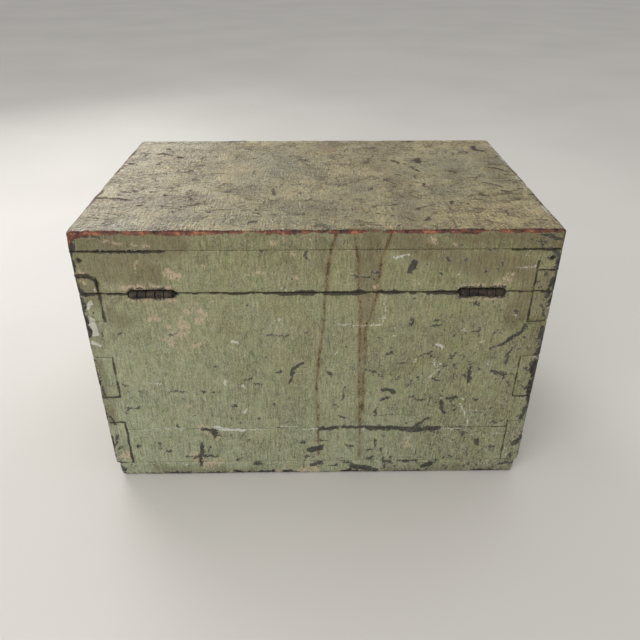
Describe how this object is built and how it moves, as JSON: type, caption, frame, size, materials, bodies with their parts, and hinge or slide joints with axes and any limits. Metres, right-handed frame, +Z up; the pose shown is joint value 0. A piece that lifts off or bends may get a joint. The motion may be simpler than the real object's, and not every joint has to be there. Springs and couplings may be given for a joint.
{
  "type": "wooden cash box",
  "caption": "Painted wooden cash box with a hinged lid, a key-driven box lock and a loose money till on runners.",
  "frame": {"origin": "centre of the base, on the surface the box stands on", "axes": "+X to the user's right when facing the lock, +Y towards the hinges, +Z up"},
  "size_m": [0.35, 0.265, 0.229],
  "materials": {
    "painted_wood": "sage green oil paint, crazed, chipped and rubbed at the edges",
    "bare_wood": "planed pine, unfinished, darkened",
    "hinge_iron": "dark, rusted",
    "nail_iron": "dull, rust bloom",
    "lock_steel": "worn, light rust",
    "brass": "tarnished"
  },
  "bodies": {
    "box": {"bottom_board": "painted_wood", "left_wall": "painted_wood", "right_wall": "painted_wood", "front_wall": "painted_wood", "rear_wall": "painted_wood", "rear_wall_strip": "painted_wood", "bottom_board_nails": "nail_iron", "body_corner_nails": "nail_iron", "body_hinge_leaf_left": "hinge_iron", "body_hinge_leaf_right": "hinge_iron", "hinge_pin_left": "hinge_iron", "hinge_pin_right": "hinge_iron", "body_hinge_screws": "hinge_iron", "lock_plate": "lock_steel", "lock_cover": "lock_steel", "lock_ward": "brass", "lock_drill_pin": "lock_steel", "lock_guide_stud": "lock_steel", "lock_plate_screws": "lock_steel", "escutcheon": "brass", "escutcheon_pins": "brass", "till_runner_left": "bare_wood", "till_runner_right": "bare_wood", "till_runner_nails": "nail_iron"},
    "lid": {"top_board": "painted_wood", "lid_left_rail": "painted_wood", "lid_right_rail": "painted_wood", "lid_front_rail": "painted_wood", "lid_rear_rail": "painted_wood", "top_board_nails": "nail_iron", "lid_corner_nails": "nail_iron", "lid_hinge_leaf_left": "hinge_iron", "lid_hinge_leaf_right": "hinge_iron", "lid_hinge_screws": "hinge_iron", "link_plate": "lock_steel", "link_hasps": "lock_steel", "link_plate_screws": "lock_steel"},
    "bolt": {"lock_bolt": "brass", "bolt_spring": "lock_steel"},
    "key": {"key": "lock_steel"},
    "till": {"till_front": "bare_wood", "till_back": "bare_wood", "till_left_end": "bare_wood", "till_right_end": "bare_wood", "till_floor": "bare_wood", "till_long_divider": "bare_wood", "till_coin_dividers": "bare_wood", "till_note_divider": "bare_wood", "till_grips": "bare_wood", "till_brads": "nail_iron"}
  },
  "joints": [
    {"name": "lid_hinge", "type": "hinge", "parent": "box", "child": "lid", "pos_m": [0, 0.118, 0.18], "axis": [-1, 0, 0], "range_deg": [0, 180]},
    {"name": "key_turn", "type": "hinge", "parent": "box", "child": "key", "pos_m": [0, -0.117, 0.16], "axis": [0, 1, 0], "range_deg": [0, 50]},
    {"name": "bolt_slide", "type": "slide", "parent": "box", "child": "bolt", "axis": [1, 0, 0], "range_m": [0, 0.0059]},
    {"name": "till_lift", "type": "slide", "parent": "box", "child": "till", "axis": [0, 0, 1], "range_m": [0, 0.036]}
  ],
  "couplings": [
    {"joint": "bolt_slide", "follows": "key_turn", "m_per_rad": 0.00676}
  ]
}
